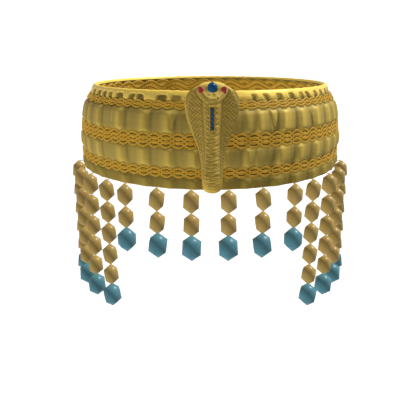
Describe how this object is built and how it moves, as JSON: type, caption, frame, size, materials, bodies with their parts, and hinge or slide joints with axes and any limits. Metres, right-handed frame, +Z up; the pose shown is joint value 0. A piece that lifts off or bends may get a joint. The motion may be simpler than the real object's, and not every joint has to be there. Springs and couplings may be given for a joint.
{
  "type": "cobra headdress",
  "caption": "Oval gathered gold cloth headdress with plaited braid trim, a cast cobra at the brow and hanging strings of faceted gold and turquoise beads.",
  "frame": {"origin": "centre of the band's lower opening, level with the string tops, where it sits round a head", "axes": "+Z up through the crown opening, -Y out of the brow through the cobra, +X to the right seen from the front"},
  "size_m": [0.1918, 0.2247, 0.1391],
  "materials": {
    "gold_cloth": "gathered metallic gold cloth with a soft satin sheen",
    "braid_cord": "plaited deep gold cord, satin",
    "cast_gold": "cast gold-coloured metal, softly polished with darker hollows",
    "blue_stone": "polished deep blue round stone",
    "red_stone": "polished red stone",
    "gold_bead": "glossy gold faceted bead with softened edges",
    "turquoise_bead": "glossy turquoise faceted bead with softened edges"
  },
  "bodies": {
    "root": {"band": "gold_cloth", "braid_lower": "braid_cord", "braid_middle": "braid_cord", "braid_upper": "braid_cord", "braid_inner": "braid_cord", "cobra": "cast_gold", "brow_stone": "blue_stone", "eye_left": "red_stone", "eye_right": "red_stone", "throat_stone_1": "blue_stone", "throat_stone_2": "blue_stone", "throat_stone_3": "blue_stone", "throat_stone_4": "blue_stone", "throat_stone_5": "blue_stone", "gold_string_left_1": "gold_bead", "gold_string_left_2": "gold_bead", "gold_string_left_3": "gold_bead", "gold_string_left_4": "gold_bead", "gold_string_left_5": "gold_bead", "gold_string_left_6": "gold_bead", "gold_string_left_7": "gold_bead", "gold_string_right_1": "gold_bead", "gold_string_right_2": "gold_bead", "gold_string_right_3": "gold_bead", "gold_string_right_4": "gold_bead", "gold_string_right_5": "gold_bead", "gold_string_right_6": "gold_bead", "gold_string_right_7": "gold_bead", "drop_left_1": "turquoise_bead", "drop_left_2": "turquoise_bead", "drop_left_3": "turquoise_bead", "drop_left_4": "turquoise_bead", "drop_left_5": "turquoise_bead", "drop_left_6": "turquoise_bead", "drop_left_7": "turquoise_bead", "drop_right_1": "turquoise_bead", "drop_right_2": "turquoise_bead", "drop_right_3": "turquoise_bead", "drop_right_4": "turquoise_bead", "drop_right_5": "turquoise_bead", "drop_right_6": "turquoise_bead", "drop_right_7": "turquoise_bead"}
  },
  "joints": []
}
